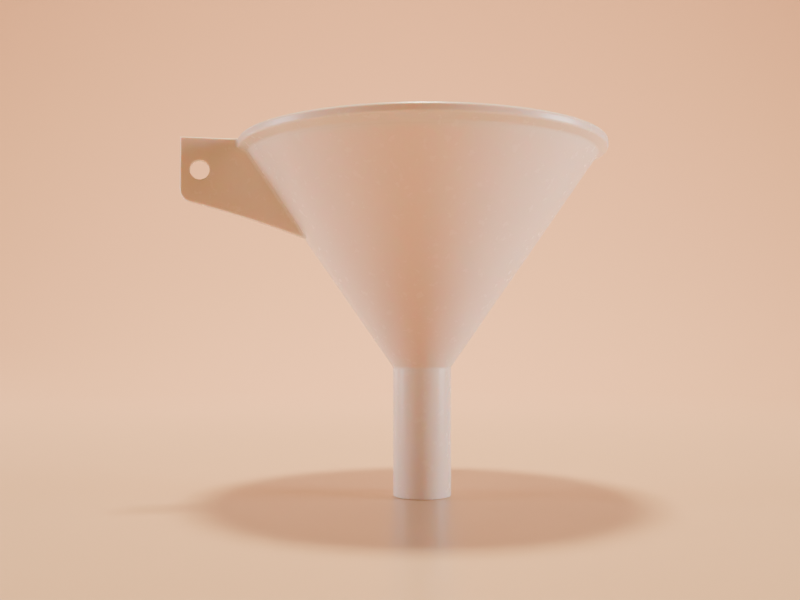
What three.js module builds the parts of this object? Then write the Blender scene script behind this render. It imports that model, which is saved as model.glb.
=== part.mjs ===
import * as THREE from 'three';

// A narrow-stem filling funnel, one moulding in milky polypropylene: a straight stem, a cone, a collar
// round the mouth, and a flat tab with a hole to hang it by.
// Millimetres, +Z up. The stem's tip stands on z = 0 and the tab points along -X.

const overallHeight = 104.6;

// collar round the mouth
const rimRadius = 55; // to its upright outer face
const rimBandHeight = 2.6; // the upright outer face
const rimLedgeWidth = 2.9; // how far the collar stands out from the top of the cone
const rimLedgeDrop = 1.2; // how far its underside slopes down to the cone
const rimEdgeBreak = 0.3; // small bevel on the collar's edges

// cone and stem, each wall measured square to its own face
const coneWall = 1.4;
const stemHeight = 38.1;
const stemNeckRadius = 8.7;
const stemTipRadius = 8.6; // the stem tapers slightly so that it leaves its mould
const stemWall = 1.4;
const tipEdgeBreak = 0.3;

// hanging tab, level with the top of the collar
const tabThickness = 2.6;
const tabOverhang = 16; // beyond the collar
const tabEdgeHeight = 17.8; // outer edge, measured to the sharp corner
const tabFootDrop = 28.8; // from the collar's top down to where the tab's lower edge meets the cone
const tabCornerRadius = 3.4;
const tabArchRise = 0.55; // the lower edge is slightly arched
const holeRadius = 2.75;
const holeFromEdge = 5.5;
const holeFromTop = 9.4;
const tabSeatMargin = 0.2; // flat left on the cone beside each face of the tab, at its foot
const tabCurveSteps = 12;

const coneTopRadius = rimRadius - rimLedgeWidth;
const coneTopHeight = overallHeight - rimBandHeight - rimLedgeDrop;
const coneFlare = (coneTopRadius - stemNeckRadius) / (coneTopHeight - stemHeight); // radius gained per mm up
const coneWallAcross = coneWall * Math.hypot(1, coneFlare); // the same wall measured level
const coneOuterRadius = (z) => stemNeckRadius + (z - stemHeight) * coneFlare;
const coneInnerRadius = (z) => coneOuterRadius(z) - coneWallAcross;
const boreNeckRadius = stemNeckRadius - stemWall;
const boreTipRadius = stemTipRadius - stemWall;

const tabFootHeight = overallHeight - tabFootDrop;
const tabFootRadius = coneOuterRadius(tabFootHeight);
const tabReach = rimRadius + tabOverhang;

// The round pieces are turned with flat sides, four times a whole number of them, so that one flat faces
// -X squarely. It is wide enough at the tab's foot for the whole thickness of the tab.
const halfFlatAngle = Math.atan((tabThickness / 2 + tabSeatMargin) / tabFootRadius);
const flats = 4 * Math.floor(Math.PI / 4 / halfFlatAngle);
const cornerRatio = 1 / Math.cos(Math.PI / flats); // from a flat's distance to a corner's distance

const milkyPlastic = () => new THREE.MeshStandardMaterial({ color: 0xe0d6cd, roughness: 0.42, metalness: 0 });

// A ring turned about Z from an anticlockwise closed section of [radius to the flats, height] points.
function turnedRing(name, section) {
  const closed = [...section, section[0]];
  const points = closed.map(([radius, z]) => new THREE.Vector2(radius * cornerRatio, z));
  const geometry = new THREE.LatheGeometry(points, flats, Math.PI / flats, 2 * Math.PI);
  geometry.rotateX(Math.PI / 2);
  const ring = new THREE.Mesh(geometry, milkyPlastic());
  ring.name = name;
  return ring;
}

// The collar's outside from the cone up to its top face.
function collarOutside() {
  return [
    [coneTopRadius, coneTopHeight],
    [rimRadius - rimEdgeBreak, coneTopHeight + rimLedgeDrop],
    [rimRadius, coneTopHeight + rimLedgeDrop + rimEdgeBreak],
    [rimRadius, overallHeight - rimEdgeBreak],
    [rimRadius - rimEdgeBreak, overallHeight],
  ];
}

function rimBead() {
  return turnedRing('rim_bead', [
    ...collarOutside(),
    [coneInnerRadius(overallHeight) + rimEdgeBreak, overallHeight],
    [coneInnerRadius(overallHeight - rimEdgeBreak), overallHeight - rimEdgeBreak],
    [coneInnerRadius(coneTopHeight), coneTopHeight],
  ]);
}

function coneShell() {
  const boreTopHeight = stemHeight + (coneWallAcross - stemWall) / coneFlare;
  return turnedRing('cone_wall', [
    [stemNeckRadius, stemHeight],
    [coneTopRadius, coneTopHeight],
    [coneInnerRadius(coneTopHeight), coneTopHeight],
    [boreNeckRadius, boreTopHeight],
    [boreNeckRadius, stemHeight],
  ]);
}

function stem() {
  return turnedRing('spout', [
    [stemTipRadius - tipEdgeBreak, 0],
    [stemTipRadius, tipEdgeBreak],
    [stemNeckRadius, stemHeight],
    [boreNeckRadius, stemHeight],
    [boreTipRadius, 0],
  ]);
}

// The tab's outline lies in the XZ plane. Its inner edge is the outside of the cone and the collar.
function hangTab() {
  const lowerEdgeTilt = Math.atan2(tabFootDrop - tabEdgeHeight, tabReach - tabFootRadius);
  const cornerX = -(tabReach - tabCornerRadius);
  const cornerZ = overallHeight - tabEdgeHeight
    + tabCornerRadius * (1 / Math.cos(lowerEdgeTilt) - Math.tan(lowerEdgeTilt));
  const archEndX = cornerX - tabCornerRadius * Math.sin(lowerEdgeTilt);
  const archEndZ = cornerZ - tabCornerRadius * Math.cos(lowerEdgeTilt);
  const archPullX = (archEndX - tabFootRadius) / 2 + 2 * tabArchRise * Math.sin(lowerEdgeTilt);
  const archPullZ = (archEndZ + tabFootHeight) / 2 + 2 * tabArchRise * Math.cos(lowerEdgeTilt);

  const outline = new THREE.Shape();
  outline.moveTo(-tabFootRadius, tabFootHeight);
  outline.quadraticCurveTo(archPullX, archPullZ, archEndX, archEndZ);
  outline.absarc(cornerX, cornerZ, tabCornerRadius, 1.5 * Math.PI - lowerEdgeTilt, Math.PI, true);
  outline.lineTo(-tabReach, overallHeight);
  for (const [radius, z] of collarOutside().reverse()) outline.lineTo(-radius, z);
  outline.closePath();

  const hole = new THREE.Path();
  hole.absarc(holeFromEdge - tabReach, overallHeight - holeFromTop, holeRadius, 0, 2 * Math.PI);
  outline.holes.push(hole);

  const geometry = new THREE.ExtrudeGeometry(outline, {
    depth: tabThickness,
    bevelEnabled: false,
    curveSegments: tabCurveSteps,
  });
  geometry.rotateX(Math.PI / 2);
  geometry.translate(0, tabThickness / 2, 0);
  const tab = new THREE.Mesh(geometry, milkyPlastic());
  tab.name = 'hang_tab';
  return tab;
}

// The origin is the middle of the bounding box's base, so the stem's axis lies half the overhang along +X.
const funnel = new THREE.Group();
funnel.add(stem(), coneShell(), rimBead(), hangTab());
funnel.position.x = tabOverhang / 2;

export default funnel;
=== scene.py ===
import math

import bpy
import bmesh
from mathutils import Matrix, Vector


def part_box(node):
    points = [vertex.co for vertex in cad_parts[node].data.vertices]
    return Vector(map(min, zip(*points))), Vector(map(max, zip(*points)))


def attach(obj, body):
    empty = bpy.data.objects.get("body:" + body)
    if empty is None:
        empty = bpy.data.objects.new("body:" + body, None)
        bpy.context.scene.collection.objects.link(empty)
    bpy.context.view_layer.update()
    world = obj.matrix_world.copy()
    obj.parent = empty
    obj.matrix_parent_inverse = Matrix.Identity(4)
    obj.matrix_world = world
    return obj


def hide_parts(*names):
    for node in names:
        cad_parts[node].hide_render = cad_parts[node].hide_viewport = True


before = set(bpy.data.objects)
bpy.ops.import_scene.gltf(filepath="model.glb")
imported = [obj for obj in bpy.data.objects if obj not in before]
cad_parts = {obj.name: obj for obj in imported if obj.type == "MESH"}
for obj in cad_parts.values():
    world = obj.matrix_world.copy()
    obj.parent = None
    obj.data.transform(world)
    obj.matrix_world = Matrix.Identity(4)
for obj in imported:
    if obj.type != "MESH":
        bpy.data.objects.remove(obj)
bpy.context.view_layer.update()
print("loaded", sorted(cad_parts))

# Places and overall sizes come from the frame's own boxes.
spoutLow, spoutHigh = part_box("spout")
coneLow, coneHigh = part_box("cone_wall")
rimLow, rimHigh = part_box("rim_bead")
tabLow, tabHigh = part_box("hang_tab")
axisX = (rimLow.x + rimHigh.x) / 2
neckRadius = (spoutHigh.y - spoutLow.y) / 2
neckHeight = spoutHigh.z
coneTopRadius = (coneHigh.y - coneLow.y) / 2
coneTopHeight = coneHigh.z
rimRadius = (rimHigh.y - rimLow.y) / 2
mouthHeight = rimHigh.z

# What the whole moulding shares.
moulding = {
    "segments": 256,
    "wall": 0.0014,        # square to each face
    "seamGap": 0.00002,    # hairline between two regions of the moulding
    "seamNear": 0.0003,    # no light passes through within this distance of a seam
    "seamFar": 0.0011,     # and all of it does beyond this
    "smoothAngle": 28,
    "cornerShare": 0.05,   # a vertex this share of the rounding away from a corner is still on it
    "cutWithin": 0.000001, # vertices this near a cut are taken as on it
}

coneFlare = (coneTopRadius - neckRadius) / (coneTopHeight - neckHeight)
coneTilt = math.atan(coneFlare)                    # lean of the cone's wall from upright
wallAcross = moulding["wall"] / math.cos(coneTilt)  # the cone's wall measured level


def coneOutside(z):
    return neckRadius + (z - neckHeight) * coneFlare


def coneInside(z):
    return coneOutside(z) - wallAcross


def clearSelection():
    if bpy.context.mode != "OBJECT":
        bpy.ops.object.mode_set(mode="OBJECT")
    bpy.ops.object.select_all(action="DESELECT")


def pickOnly(piece):
    clearSelection()
    piece.select_set(True)
    bpy.context.view_layer.objects.active = piece


def selectVertices(piece, wanted):
    # vertices chosen by their place, in edit mode
    bpy.ops.mesh.select_mode(type="VERT")
    bpy.ops.mesh.select_all(action="DESELECT")
    mesh = bmesh.from_edit_mesh(piece.data)
    for vertex in mesh.verts:
        if wanted(vertex.co):
            vertex.select_set(True)
    mesh.select_flush(True)
    bmesh.update_edit_mesh(piece.data)


def selectEdges(piece, wanted):
    bpy.ops.mesh.select_mode(type="EDGE")
    bpy.ops.mesh.select_all(action="DESELECT")
    mesh = bmesh.from_edit_mesh(piece.data)
    for edge in mesh.edges:
        if wanted(edge):
            edge.select_set(True)
    bmesh.update_edit_mesh(piece.data)


def selectFaces(piece, wanted):
    bpy.ops.mesh.select_mode(type="FACE")
    bpy.ops.mesh.select_all(action="DESELECT")
    mesh = bmesh.from_edit_mesh(piece.data)
    for face in mesh.faces:
        if wanted(face.calc_center_median()):
            face.select_set(True)
    bmesh.update_edit_mesh(piece.data)


def placeInMesh(piece):
    # the object goes to the origin and its place into its mesh
    pickOnly(piece)
    bpy.ops.object.transform_apply(location=True, rotation=True, scale=True)


def markDepth(piece, fromSeam):
    # light travels inside each region, so it is held back within a hair of a seam
    depth = piece.data.attributes.new("lightDepth", "FLOAT", "POINT")
    for vertex in piece.data.vertices:
        share = (fromSeam(vertex.co) - moulding["seamNear"]) / (moulding["seamFar"] - moulding["seamNear"])
        depth.data[vertex.index].value = min(max(share, 0), 1)


def finishSurface(piece, material, fromSeam):
    pickOnly(piece)
    markDepth(piece, fromSeam)
    bpy.ops.object.mode_set(mode="EDIT")
    bpy.ops.mesh.select_all(action="SELECT")
    bpy.ops.mesh.normals_make_consistent(inside=False)
    bpy.ops.object.mode_set(mode="OBJECT")
    bpy.ops.object.shade_smooth_by_angle(angle=math.radians(moulding["smoothAngle"]))
    weighted = piece.modifiers.new("evenShading", "WEIGHTED_NORMAL")
    weighted.keep_sharp = True
    weighted.weight = 100
    bpy.ops.object.modifier_apply(modifier=weighted.name)
    piece.data.materials.clear()
    piece.data.materials.append(material)
    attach(piece, "root")


def turnRing(name, section, closed=True):
    # A section of (radius, height) points drawn out ring by ring round the funnel's axis.
    clearSelection()
    radius, z = section[0]
    bpy.ops.mesh.primitive_circle_add(vertices=moulding["segments"], radius=radius, location=(axisX, 0, z))
    piece = bpy.context.object
    piece.name = piece.data.name = name
    placeInMesh(piece)
    bpy.ops.object.mode_set(mode="EDIT")
    bpy.ops.mesh.select_all(action="SELECT")
    for nextRadius, nextZ in section[1:]:
        bpy.ops.mesh.extrude_edges_move(TRANSFORM_OT_translate={"value": (0, 0, nextZ - z)})
        grow = nextRadius / radius
        bpy.ops.transform.resize(value=(grow, grow, 1), center_override=(axisX, 0, nextZ))
        radius, z = nextRadius, nextZ
    bpy.ops.mesh.select_all(action="DESELECT")
    bpy.ops.mesh.select_mode(type="EDGE")
    bpy.ops.mesh.select_non_manifold()
    if closed:
        bpy.ops.mesh.bridge_edge_loops()
    else:
        bpy.ops.mesh.fill_holes(sides=0)
    bpy.ops.mesh.select_all(action="SELECT")
    bpy.ops.mesh.normals_make_consistent(inside=False)
    return piece


def roundRing(piece, radius, z, offset, steps=5):
    # rounds the corner that runs round the piece at that radius and height
    near = offset * moulding["cornerShare"]

    def onCorner(edge):
        return all(
            abs(math.hypot(v.co.x - axisX, v.co.y) - radius) < near and abs(v.co.z - z) < near
            for v in edge.verts
        )

    selectEdges(piece, onCorner)
    bpy.ops.mesh.bevel(offset=offset, segments=steps, affect="EDGES", profile=0.5)


milkyPlastic = {
    "colour": (0.83, 0.735, 0.665, 1),
    "mottle": (0.80, 0.70, 0.62, 1),
    "roughness": 0.26,
    "roughnessSpread": 0.05,
    "through": (1.0, 0.58, 0.32),   # red light travels furthest inside
    "depth": 0.0012,
    "ior": 1.49,
    "cloudScale": 55,      # slow change of tint
    "cloudDetail": 3,
    "grainScale": 420,     # fine unevenness of the moulded skin
    "grainDetail": 4,
    "skinStrength": 0.25,
    "skinDepth": 0.00004,
}


def makeMilkyPlastic():
    look = milkyPlastic
    material = bpy.data.materials.new("milkyPlastic")
    material.use_nodes = True
    nodes, links = material.node_tree.nodes, material.node_tree.links
    shader = nodes["Principled BSDF"]
    shader.subsurface_method = "RANDOM_WALK"
    shader.inputs["Subsurface Radius"].default_value = look["through"]
    shader.inputs["Subsurface Scale"].default_value = look["depth"]
    shader.inputs["IOR"].default_value = look["ior"]
    depth = nodes.new("ShaderNodeAttribute")
    depth.attribute_name = "lightDepth"
    links.new(depth.outputs["Fac"], shader.inputs["Subsurface Weight"])
    place = nodes.new("ShaderNodeTexCoord")

    cloud = nodes.new("ShaderNodeTexNoise")
    cloud.inputs["Scale"].default_value = look["cloudScale"]
    cloud.inputs["Detail"].default_value = look["cloudDetail"]
    links.new(place.outputs["Object"], cloud.inputs["Vector"])
    tint = nodes.new("ShaderNodeMix")
    tint.data_type = "RGBA"
    tint.inputs["A"].default_value = look["colour"]
    tint.inputs["B"].default_value = look["mottle"]
    links.new(cloud.outputs["Fac"], tint.inputs["Factor"])
    links.new(tint.outputs["Result"], shader.inputs["Base Color"])

    grain = nodes.new("ShaderNodeTexNoise")
    grain.inputs["Scale"].default_value = look["grainScale"]
    grain.inputs["Detail"].default_value = look["grainDetail"]
    links.new(place.outputs["Object"], grain.inputs["Vector"])
    gloss = nodes.new("ShaderNodeMapRange")
    gloss.inputs["To Min"].default_value = look["roughness"] - look["roughnessSpread"]
    gloss.inputs["To Max"].default_value = look["roughness"] + look["roughnessSpread"]
    links.new(grain.outputs["Fac"], gloss.inputs["Value"])
    links.new(gloss.outputs["Result"], shader.inputs["Roughness"])

    skin = nodes.new("ShaderNodeBump")
    skin.inputs["Strength"].default_value = look["skinStrength"]
    skin.inputs["Distance"].default_value = look["skinDepth"]
    links.new(grain.outputs["Fac"], skin.inputs["Height"])
    links.new(skin.outputs["Normal"], shader.inputs["Normal"])
    return material


plastic = makeMilkyPlastic()

collar = {
    "underFillet": 0.0005,
    "seamBelow": 0.0009,   # along the cone, below the collar's underside
    "lowerRound": 0.0005,
    "upperRound": 0.0010,
    "innerRound": 0.0003,
    "ledgeRun": 0.0026,
    "ledgeDrop": 0.0012,
}

alongCone = (math.sin(coneTilt), math.cos(coneTilt))
squareToCone = (-math.cos(coneTilt), math.sin(coneTilt))
ledgeSlope = collar["ledgeDrop"] / collar["ledgeRun"]
bandFoot = coneTopHeight + (rimRadius - coneTopRadius) * ledgeSlope
seamOuter = (coneTopRadius - collar["seamBelow"] * alongCone[0],
             coneTopHeight - collar["seamBelow"] * alongCone[1])
seamInner = (seamOuter[0] + moulding["wall"] * squareToCone[0],
             seamOuter[1] + moulding["wall"] * squareToCone[1])


def fromCollarSeam(point):
    # distance along the cone's slope from the seam below the collar
    radius = math.hypot(point.x - axisX, point.y)
    return abs((radius - seamOuter[0]) * alongCone[0] + (point.z - seamOuter[1]) * alongCone[1])


def alongFromSeam(start, distance):
    return (start[0] + distance * alongCone[0], start[1] + distance * alongCone[1])


def makeCollar():
    innerTop = coneInside(mouthHeight)
    piece = turnRing("rimCollar", [
        seamInner,
        alongFromSeam(seamInner, moulding["seamNear"]),
        alongFromSeam(seamInner, moulding["seamFar"]),
        (innerTop, mouthHeight),
        (rimRadius, mouthHeight),
        (rimRadius, bandFoot),
        (coneTopRadius, coneTopHeight),
        seamOuter,
    ])
    roundRing(piece, innerTop, mouthHeight, collar["innerRound"])
    roundRing(piece, rimRadius, mouthHeight, collar["upperRound"])
    roundRing(piece, rimRadius, bandFoot, collar["lowerRound"])
    roundRing(piece, coneTopRadius, coneTopHeight, collar["underFillet"])
    finishSurface(piece, plastic, fromCollarSeam)
    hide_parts("rim_bead")


makeCollar()
print("collar made")

cone = {
    "neckRound": 0.0004,
    "throatRound": 0.0005,
    "seamDrop": 0.0006,    # the stem's region starts this far below the neck
    "rings": 14,
    "plainStop": 0.002,    # the evenly spaced rings stop this far below the collar's seam
    "besideTab": 0.0008,   # the tab's root is this much wider than its plate, on each side
    "belowTab": 0.001,
}

boreNeckRadius = neckRadius - moulding["wall"]
throatHeight = neckHeight + (wallAcross - moulding["wall"]) / coneFlare


def fromNeckSeam(point):
    return abs(point.z - (neckHeight - cone["seamDrop"]))


def fromTabSeam(point):
    # only the outside of the wall behind the tab's root
    radius = math.hypot(point.x - axisX, point.y)
    onOutside = radius > coneOutside(point.z) - moulding["wall"] / 2
    if point.x > axisX or point.z < tabLow.z - cone["belowTab"] or not onOutside:
        return 1
    return max(abs(point.y) - tabHigh.y - cone["besideTab"], 0)


def fromConeSeams(point):
    return min(fromCollarSeam(point), fromNeckSeam(point), fromTabSeam(point))


def makeCone():
    gap = moulding["seamGap"]
    footZ = neckHeight - cone["seamDrop"] + gap
    steps = cone["rings"]
    upTo, downFrom = seamOuter[1] - cone["plainStop"], seamInner[1] - cone["plainStop"]
    up = [neckHeight + (upTo - neckHeight) * n / steps for n in range(1, steps + 1)]
    down = [downFrom + (throatHeight - downFrom) * n / steps for n in range(steps)]
    seamRows = (moulding["seamFar"], moulding["seamNear"], gap)
    piece = turnRing("coneWall", [
        (neckRadius, footZ),
        (neckRadius, neckHeight),
        *[(coneOutside(z), z) for z in up],
        *[alongFromSeam(seamOuter, -row) for row in seamRows],
        *[alongFromSeam(seamInner, -row) for row in reversed(seamRows)],
        *[(coneInside(z), z) for z in down],
        (boreNeckRadius, throatHeight),
        (boreNeckRadius, footZ),
    ])
    roundRing(piece, neckRadius, neckHeight, cone["neckRound"])
    roundRing(piece, boreNeckRadius, throatHeight, cone["throatRound"])
    finishSurface(piece, plastic, fromConeSeams)
    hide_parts("cone_wall")


makeCone()
print("cone made")

stem = {
    "tipRound": 0.00035,
    "boreRound": 0.00025,
    "tipRadius": 0.0086,
    "rings": 8,
}


def makeStem():
    topZ = neckHeight - cone["seamDrop"]
    tip, taper = stem["tipRadius"], (neckRadius - stem["tipRadius"]) / neckHeight
    wall = moulding["wall"]
    steps = stem["rings"]
    heights = [topZ * n / steps for n in range(steps)]
    heights += [topZ - moulding["seamFar"], topZ - moulding["seamNear"], topZ]
    piece = turnRing("stemTube", [
        *[(tip + z * taper, z) for z in heights],
        *[(tip + z * taper - wall, z) for z in reversed(heights)],
    ])
    roundRing(piece, tip, 0, stem["tipRound"])
    roundRing(piece, tip - wall, 0, stem["boreRound"])
    finishSurface(piece, plastic, fromNeckSeam)
    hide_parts("spout")


makeStem()
print("stem made")

tab = {
    "edgeHeight": 0.0178,
    "cornerRadius": 0.0034,
    "cornerSteps": 12,
    "archRise": 0.00055,
    "edgeRound": 0.00035,
    "edgeSteps": 4,
    "holeRadius": 0.00275,
    "holeFromEdge": 0.0055,
    "holeFromTop": 0.0094,
    "holeSquares": 12,     # along each side of the block that becomes the hole
    "holeMargin": 0.0004,
    "archSteps": 14,
    "intoMouth": 0.004,    # how far the sheet runs past the cone before it is cut
    "rootFillet": 0.0008,
    "rootSteps": 6,
    "rootLastRow": 1.6,    # a plain row this many fillets out
    "plugFoot": 0.02,      # the cutting plug starts this far above the neck
    "mergeWithin": 0.000004,
    "near": 0.00005,       # a vertex this near a line is taken as on it
    "sameColumn": 0.000002,
    "sameRow": 0.000001,
    "flatFacing": 0.9,     # faces of the plate's two flat sides point at least this much along y
}


def makeMouthPlug():
    # the cone's and collar's outside as a solid, which the tab's root is cut to
    plugFoot = neckHeight + tab["plugFoot"]
    piece = turnRing("mouthPlug", [
        (coneOutside(plugFoot), plugFoot),
        (coneTopRadius, coneTopHeight),
        (rimRadius, bandFoot),
        (rimRadius, mouthHeight),
    ], closed=False)
    roundRing(piece, rimRadius, mouthHeight, collar["upperRound"])
    roundRing(piece, rimRadius, bandFoot, collar["lowerRound"])
    roundRing(piece, coneTopRadius, coneTopHeight, collar["underFillet"])
    bpy.ops.mesh.select_all(action="SELECT")
    bpy.ops.transform.shrink_fatten(value=moulding["seamGap"])
    bpy.ops.object.mode_set(mode="OBJECT")
    return piece


def cutBy(piece, cutter):
    pickOnly(piece)
    cut = piece.modifiers.new("cut", "BOOLEAN")
    cut.operation = "DIFFERENCE"
    cut.solver = "MANIFOLD"
    cut.object = cutter
    bpy.ops.object.modifier_apply(modifier=cut.name)
    pickOnly(cutter)
    bpy.ops.object.delete()


def mouthRadiusAt(z):
    # outside of the cone, the collar's underside and its band
    if z < coneTopHeight:
        return coneOutside(z)
    if z < bandFoot:
        return coneTopRadius + (z - coneTopHeight) / ledgeSlope
    return rimRadius


def levelReach(z):
    # a row keeps its distance from the sloping cone, so it lies further out measured level
    share = min(max((bandFoot - z) / (bandFoot - coneTopHeight), 0), 1)
    return 1 + share * (1 / math.cos(coneTilt) - 1)


def reachFromMouth(point):
    return (axisX - point.x - mouthRadiusAt(point.z)) / levelReach(point.z)


def cutAcross(place, direction):
    # a row or column of edges through the selected faces; the direction has length one
    bpy.ops.mesh.bisect(plane_co=place, plane_no=direction, threshold=moulding["cutWithin"])


def drawPlate():
    # outline of the tab as one flat sheet on its front side
    outerX, topZ, footX, footZ = tabLow.x, tabHigh.z, tabHigh.x, tabLow.z
    innerX, near = footX + tab["intoMouth"], tab["near"]
    rise = topZ - tab["edgeHeight"] - footZ
    tilt = math.atan2(rise, footX - outerX)
    clearSelection()
    bpy.ops.mesh.primitive_plane_add(
        size=1,
        location=((outerX + innerX) / 2, tabLow.y, (topZ + footZ) / 2),
        rotation=(math.pi / 2, 0, 0),
    )
    piece = bpy.context.object
    piece.name = piece.data.name = "hangTab"
    piece.scale = (innerX - outerX, topZ - footZ, 1)
    placeInMesh(piece)
    bpy.ops.object.mode_set(mode="EDIT")

    # the lower edge slopes from the short outer edge down to the cone, and its corner is rounded
    selectVertices(piece, lambda p: p.x > innerX - near and p.z < footZ + near)
    bpy.ops.transform.translate(value=(0, 0, -tab["intoMouth"] * math.tan(tilt)))
    selectVertices(piece, lambda p: p.x < outerX + near and p.z < footZ + near)
    bpy.ops.transform.translate(value=(0, 0, rise))
    tangent = tab["cornerRadius"] / math.tan((math.pi / 2 + tilt) / 2)
    bpy.ops.mesh.bevel(offset=tangent, segments=tab["cornerSteps"], affect="VERTICES", profile=0.5)

    # a block of small squares is rounded into a ring, which is drawn in to the hole's edge
    holeX, holeZ = outerX + tab["holeFromEdge"], topZ - tab["holeFromTop"]
    block, squares = tab["holeRadius"] + tab["holeMargin"], tab["holeSquares"]
    for n in range(squares + 1):
        step = block * (2 * n / squares - 1)
        bpy.ops.mesh.select_all(action="SELECT")
        cutAcross((holeX + step, 0, 0), (1, 0, 0))
        bpy.ops.mesh.select_all(action="SELECT")
        cutAcross((0, 0, holeZ + step), (0, 0, 1))

    def inBlock(p, size):
        return abs(p.x - holeX) < size and abs(p.z - holeZ) < size

    selectFaces(piece, lambda p: inBlock(p, block))
    bpy.ops.mesh.delete(type="FACE")
    selectVertices(piece, lambda p: inBlock(p, block + near))
    bpy.ops.transform.tosphere(value=1)
    mesh = bmesh.from_edit_mesh(piece.data)
    ring = [math.hypot(v.co.x - holeX, v.co.z - holeZ) for v in mesh.verts if v.select]
    ringRadius = sum(ring) / len(ring)
    selectEdges(piece, lambda e: e.is_boundary and inBlock(e.verts[0].co, ringRadius + near))
    bpy.ops.mesh.extrude_edges_move(TRANSFORM_OT_translate={"value": (0, 0, 0)})
    drawn = tab["holeRadius"] / ringRadius
    bpy.ops.transform.resize(value=(drawn, 1, drawn), center_override=(holeX, 0, holeZ))

    # the straight lower edge is cut into short lengths and lifted into a slight arch
    archStart, lengths = outerX + tangent * math.cos(tilt), tab["archSteps"]
    for n in range(1, lengths):
        x = archStart + (footX - archStart) * n / lengths
        selectFaces(piece, lambda p: p.z < holeZ - block - near)
        cutAcross((x, 0, 0), (1, 0, 0))

    def isLowerEdge(p):
        return archStart < p.x < footX and p.z < footZ + (footX - p.x) * math.tan(tilt) + near

    mesh = bmesh.from_edit_mesh(piece.data)
    for x in sorted({round(v.co.x, 6) for v in mesh.verts if isLowerEdge(v.co)}):
        share = (x - archStart) / (footX - archStart)
        selectVertices(piece, lambda p: isLowerEdge(p) and abs(p.x - x) < tab["sameColumn"])
        bpy.ops.transform.translate(value=(0, 0, 4 * tab["archRise"] * share * (1 - share)))
    return piece


def flareRoot(piece, halfThickness):
    # rows of edges beside the mouth, each drawn out a little further than the last
    fillet, steps = tab["rootFillet"], tab["rootSteps"]
    rows = [fillet * (1 - math.cos(math.pi / 2 * n / steps)) for n in range(steps + 1)]
    margin = 0.01   # past the tab's ends in metres, and inside each level as a share of it
    levels = [tabLow.z - margin, coneTopHeight, bandFoot, tabHigh.z + margin]
    for z in levels[1:3]:
        bpy.ops.mesh.select_all(action="SELECT")
        cutAcross((0, 0, z), (0, 0, 1))
    for low, high in zip(levels[:-1], levels[1:]):
        inset = (high - low) * margin
        ends = (low + inset, high - inset)
        for row in rows[1:] + [fillet * tab["rootLastRow"]]:
            lowX, highX = (axisX - mouthRadiusAt(z) - row * levelReach(z) for z in ends)
            rise = high - low - 2 * inset
            slant = math.hypot(rise, lowX - highX)
            selectFaces(piece, lambda p: low < p.z < high)
            cutAcross((lowX, 0, low + inset), (rise / slant, 0, (lowX - highX) / slant))

    def halfWidth(reach):
        return halfThickness + fillet - math.sqrt(max(fillet ** 2 - (fillet - reach) ** 2, 0))

    for inner, outer in zip(reversed(rows[:-1]), reversed(rows[1:])):
        selectVertices(piece, lambda p: reachFromMouth(p) < inner + tab["sameRow"])
        wider = halfWidth(inner) / halfWidth(outer)
        bpy.ops.transform.resize(value=(1, wider, 1), center_override=(0, 0, 0))


def makeTab():
    thickness = tabHigh.y - tabLow.y
    piece = drawPlate()
    bpy.ops.mesh.select_all(action="SELECT")
    bpy.ops.mesh.extrude_region_move(TRANSFORM_OT_translate={"value": (0, thickness, 0)})
    bpy.ops.mesh.select_all(action="SELECT")
    bpy.ops.mesh.normals_make_consistent(inside=False)

    def isOutline(edge):
        # all round the plate and the hole
        one, two = (abs(face.normal.y) > tab["flatFacing"] for face in edge.link_faces)
        return one != two

    selectEdges(piece, isOutline)
    bpy.ops.mesh.bevel(offset=tab["edgeRound"], segments=tab["edgeSteps"], affect="EDGES", profile=0.5)
    flareRoot(piece, thickness / 2)
    bpy.ops.object.mode_set(mode="OBJECT")
    cutBy(piece, makeMouthPlug())
    pickOnly(piece)
    bpy.ops.object.mode_set(mode="EDIT")
    bpy.ops.mesh.select_all(action="SELECT")
    bpy.ops.mesh.remove_doubles(threshold=tab["mergeWithin"])
    finishSurface(piece, plastic, reachFromMouth)
    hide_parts("hang_tab")


makeTab()
print("tab made")

studio = {
    "turn": math.radians(10.5),   # the camera stands this far round from the tab's square view
    "floor": (0.62, 0.42, 0.26, 1),
    "floorRoughness": 0.32,
    "floorRadius": 0.45,
    "floorSegments": 128,
    "sweep": 0.6,
    "sweepSteps": 24,
    "sky": (0.92, 0.74, 0.56, 1),
    "skyStrength": 0.05,
}


def seenFrom(side, away, height):
    # a place given as the camera sees it: right of the axis, beyond the axis, above the floor
    turn = studio["turn"]
    return (axisX + side * math.cos(turn) + away * math.sin(turn),
            away * math.cos(turn) - side * math.sin(turn), height)


def makeFloor():
    # a round table top whose edge sweeps up into the backdrop
    radius, sweep, steps = studio["floorRadius"], studio["sweep"], studio["sweepSteps"]
    clearSelection()
    bpy.ops.mesh.primitive_circle_add(
        vertices=studio["floorSegments"], radius=radius, fill_type="NGON", location=(axisX, 0, 0))
    floor = bpy.context.object
    floor.name = "studioFloor"
    bpy.ops.object.mode_set(mode="EDIT")
    selectEdges(floor, lambda edge: True)
    for n in range(1, steps + 1):
        before, now = (math.pi / 2 * k / steps for k in (n - 1, n))
        bpy.ops.mesh.extrude_edges_move(
            TRANSFORM_OT_translate={"value": (0, 0, sweep * (math.cos(before) - math.cos(now)))})
        grow = (radius + sweep * math.sin(now)) / (radius + sweep * math.sin(before))
        bpy.ops.transform.resize(value=(grow, grow, 1), center_override=(axisX, 0, 0))
    bpy.ops.mesh.select_all(action="SELECT")
    bpy.ops.mesh.faces_shade_smooth()
    bpy.ops.object.mode_set(mode="OBJECT")
    material = bpy.data.materials.new("palePaper")
    material.use_nodes = True
    shader = material.node_tree.nodes["Principled BSDF"]
    shader.inputs["Base Color"].default_value = studio["floor"]
    shader.inputs["Roughness"].default_value = studio["floorRoughness"]
    floor.data.materials.append(material)


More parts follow.
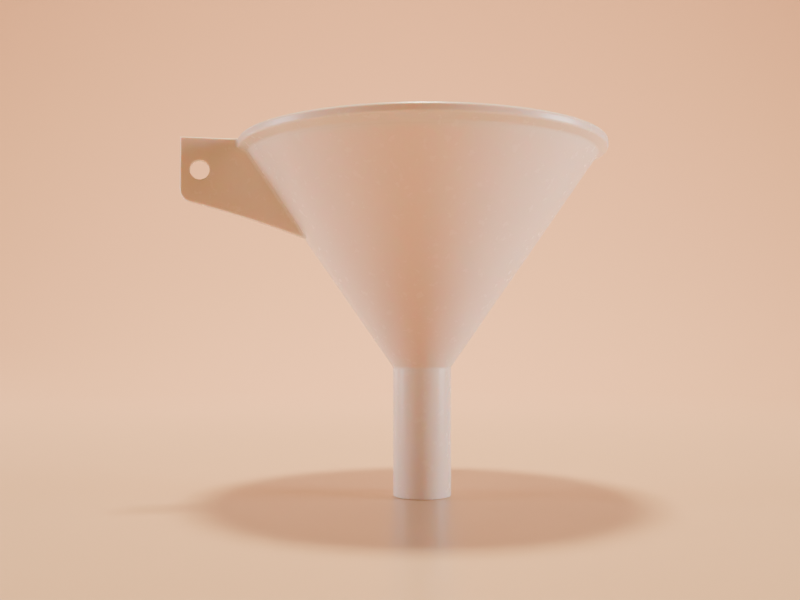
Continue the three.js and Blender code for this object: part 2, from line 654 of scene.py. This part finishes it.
# Each lamp: its place and what it faces, as seenFrom takes them, then its size, power and tint.
lamps = {
    "leftBackLamp": {
        "place": (-0.50, 0.33, 0.10), "facing": (0, 0, 0.07),
        "size": (0.16, 0.18), "watts": 1.2, "tint": (1, 0.70, 0.60),
    },
    "softboxLeft": {
        "place": (-0.56, -0.02, 0.16), "facing": (0, 0, 0.07),
        "size": (0.20, 0.36), "watts": 2.6, "tint": (1, 0.88, 0.92),
    },
    "softboxRight": {
        "place": (0.60, -0.08, 0.13), "facing": (0, 0, 0.07),
        "size": (0.26, 0.36), "watts": 5.7, "tint": (1, 0.88, 0.88),
    },
    "overheadLamp": {
        "place": (0.0, 0.045, 0.66), "facing": (0, 0, 0),
        "size": (0.08, 0.08), "watts": 8.8, "tint": (1, 0.79, 0.48),
    },
    "backdropLamp": {
        "place": (0.0, 0.35, 0.55), "facing": (0, 0.95, 0.15),
        "size": (0.50, 0.30), "watts": 13.0, "tint": (1, 0.62, 0.42),
    },
}


def addLamp(name, spec):
    clearSelection()
    bpy.ops.object.light_add(type="AREA", location=seenFrom(*spec["place"]))
    lamp = bpy.context.object
    lamp.name = name
    lamp.data.shape = "RECTANGLE"
    lamp.data.size, lamp.data.size_y = spec["size"]
    lamp.data.energy = spec["watts"]
    lamp.data.color = spec["tint"]
    lamp.visible_camera = False
    direction = Vector(seenFrom(*spec["facing"])) - lamp.location
    lamp.rotation_euler = direction.to_track_quat("-Z", "Y").to_euler()


def makeStudio():
    makeFloor()
    world = bpy.data.worlds.new("paleRoom")
    bpy.context.scene.world = world
    world.use_nodes = True
    backdrop = world.node_tree.nodes["Background"]
    backdrop.inputs["Color"].default_value = studio["sky"]
    backdrop.inputs["Strength"].default_value = studio["skyStrength"]
    for name, spec in lamps.items():
        addLamp(name, spec)


cameraSetting = {
    "place": (-0.00658, -0.27669, 0.04809),
    "tilt": math.radians(92.09),   # upright from straight down, so it looks up a little
    "lens": 41.5,
    "clipStart": 0.01,
}


def makeCamera():
    clearSelection()
    bpy.ops.object.camera_add(location=seenFrom(*cameraSetting["place"]))
    camera = bpy.context.object
    camera.rotation_euler = (cameraSetting["tilt"], 0, -studio["turn"])
    camera.data.lens = cameraSetting["lens"]
    camera.data.clip_start = cameraSetting["clipStart"]
    bpy.context.scene.camera = camera


makeStudio()
makeCamera()
print("studio set")
